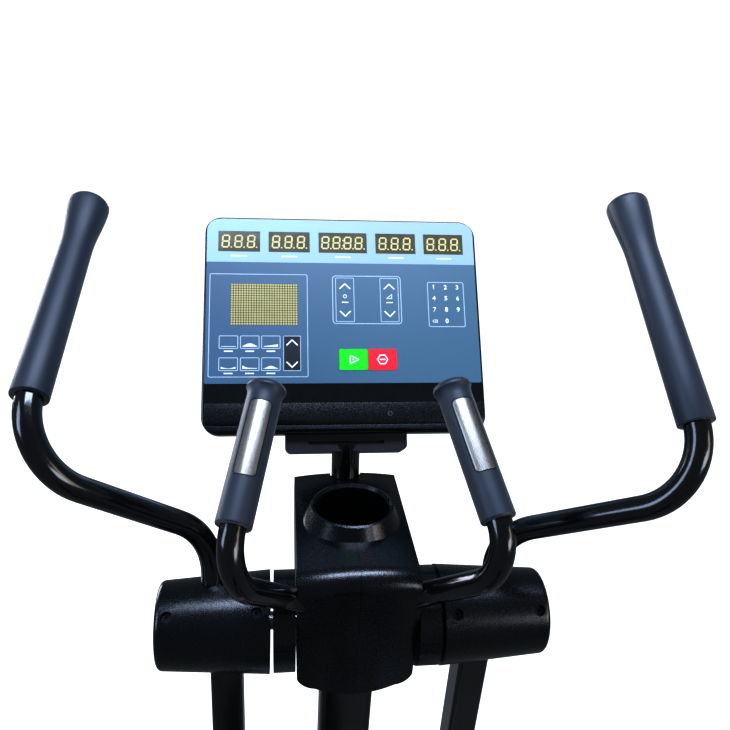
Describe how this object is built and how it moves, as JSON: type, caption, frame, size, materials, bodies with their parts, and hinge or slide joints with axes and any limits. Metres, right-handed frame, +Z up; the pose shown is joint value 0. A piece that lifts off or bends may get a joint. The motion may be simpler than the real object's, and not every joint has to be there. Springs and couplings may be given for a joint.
{
  "type": "elliptical trainer",
  "caption": "Cross trainer with swinging handlebars, foot rails driven by a rear crank, fixed pulse grips, a cup holder and a tilted console.",
  "frame": {"origin": "middle of the footprint, on the floor", "axes": "+X to the user's right, +Y ahead of the user towards the console, +Z up"},
  "size_m": [0.8238, 2.05, 1.6492],
  "materials": {
    "frame_paint": "gloss powder coat",
    "housing_plastic": "fine textured satin",
    "shroud_plastic": "fine textured satin",
    "trim_plastic": "satin",
    "console_gloss": "polished",
    "console_rear_plastic": "textured",
    "overlay_print": "printed film, satin",
    "display_tint": "tinted clear",
    "board_laminate": "solder mask",
    "start_green": "printed, satin",
    "stop_red": "printed, satin",
    "grip_rubber": "soft matt foam rubber",
    "foot_rubber": "matt",
    "pulse_steel": "brushed along its length",
    "machined_steel": "turned",
    "screw_black": "blackened",
    "flywheel_iron": "turned rim",
    "pulley_aluminium": "cast",
    "magnet_paint": "zinc plated and painted",
    "foot_plate_plastic": "ribbed, moulded"
  },
  "bodies": {
    "root": {"base_beam": "frame_paint", "front_stretcher": "frame_paint", "rear_stretcher": "frame_paint", "mast": "frame_paint", "left_fixed_handle": "frame_paint", "right_fixed_handle": "frame_paint", "drive_side_plates": "frame_paint", "console_post": "frame_paint", "housing_left_shell": "housing_plastic", "housing_right_shell": "housing_plastic", "axle_collars": "housing_plastic", "cup_holder": "housing_plastic", "shroud_left_shell": "shroud_plastic", "shroud_right_shell": "shroud_plastic", "stretcher_end_caps": "trim_plastic", "console_bracket": "trim_plastic", "console_front_shell": "console_gloss", "console_rear_shell": "console_rear_plastic", "console_overlay": "overlay_print", "display_windows": "display_tint", "console_board": "board_laminate", "left_fixed_grip": "grip_rubber", "right_fixed_grip": "grip_rubber", "levelling_feet": "foot_rubber", "drive_belt": "foot_rubber", "pulse_plates": "pulse_steel", "pivot_axle": "machined_steel", "wheel_bolts": "machined_steel", "drive_bearings": "machined_steel", "brake_magnet": "magnet_paint"},
    "left_swing": {"left_swing_hub": "frame_paint", "left_hub_bearings": "machined_steel", "left_barrel_cover": "housing_plastic", "left_cover_screws": "screw_black", "left_handlebar": "frame_paint", "left_handle_grip": "grip_rubber", "left_lower_arm": "frame_paint"},
    "left_rail": {"left_foot_rail": "frame_paint", "left_foot_plate": "foot_plate_plastic", "left_link_pin": "machined_steel", "left_rail_bearing": "machined_steel"},
    "left_wheel": {"left_transport_wheel": "foot_rubber"},
    "right_swing": {"right_swing_hub": "frame_paint", "right_hub_bearings": "machined_steel", "right_barrel_cover": "housing_plastic", "right_cover_screws": "screw_black", "right_handlebar": "frame_paint", "right_handle_grip": "grip_rubber", "right_lower_arm": "frame_paint"},
    "right_rail": {"right_foot_rail": "frame_paint", "right_foot_plate": "foot_plate_plastic", "right_link_pin": "machined_steel", "right_rail_bearing": "machined_steel"},
    "right_wheel": {"right_transport_wheel": "foot_rubber"},
    "crank": {"crank_axle": "machined_steel", "crank_arms": "frame_paint", "crank_pulley": "pulley_aluminium"},
    "flywheel": {"flywheel": "flywheel_iron"},
    "start_key": {"start_key": "start_green"},
    "stop_key": {"stop_key": "stop_red"}
  },
  "joints": [
    {"name": "left_swing", "type": "hinge", "parent": "root", "child": "left_swing", "pos_m": [0, 0.625, 1.05], "axis": [1, 0, 0], "range_deg": [-9.7, 20.2]},
    {"name": "right_swing", "type": "hinge", "parent": "root", "child": "right_swing", "pos_m": [0, 0.625, 1.05], "axis": [1, 0, 0], "range_deg": [-20.3, 9.8]},
    {"name": "left_rail_pivot", "type": "hinge", "parent": "left_swing", "child": "left_rail", "pos_m": [-0.18, 0.65405, 0.27408], "axis": [1, 0, 0], "range_deg": [-20.3, 9.8]},
    {"name": "right_rail_pivot", "type": "hinge", "parent": "right_swing", "child": "right_rail", "pos_m": [0.18, 0.79438, 0.29223], "axis": [1, 0, 0], "range_deg": [-9.8, 20.3]},
    {"name": "crank_turn", "type": "hinge", "parent": "root", "child": "crank", "pos_m": [0, -0.665, 0.33], "axis": [1, 0, 0], "continuous": true},
    {"name": "flywheel_turn", "type": "hinge", "parent": "root", "child": "flywheel", "pos_m": [0, -0.865, 0.3], "axis": [1, 0, 0], "continuous": true},
    {"name": "start_key_press", "type": "slide", "parent": "root", "child": "start_key", "axis": [0, 0.8805, -0.4741], "range_m": [0, 0.0006], "stiffness_N_per_m": 2000},
    {"name": "stop_key_press", "type": "slide", "parent": "root", "child": "stop_key", "axis": [0, 0.8805, -0.4741], "range_m": [0, 0.0006], "stiffness_N_per_m": 2000},
    {"name": "left_wheel_turn", "type": "hinge", "parent": "root", "child": "left_wheel", "pos_m": [-0.303, 0.994, 0.037], "axis": [1, 0, 0], "continuous": true},
    {"name": "right_wheel_turn", "type": "hinge", "parent": "root", "child": "right_wheel", "pos_m": [0.303, 0.994, 0.037], "axis": [1, 0, 0], "continuous": true}
  ],
  "couplings": [
    {"joint": "right_swing", "follows": "left_swing", "ratio": -1},
    {"joint": "left_rail_pivot", "follows": "left_swing", "ratio": -1},
    {"joint": "right_rail_pivot", "follows": "left_swing", "ratio": 1},
    {"joint": "flywheel_turn", "follows": "crank_turn", "ratio": 7}
  ]
}
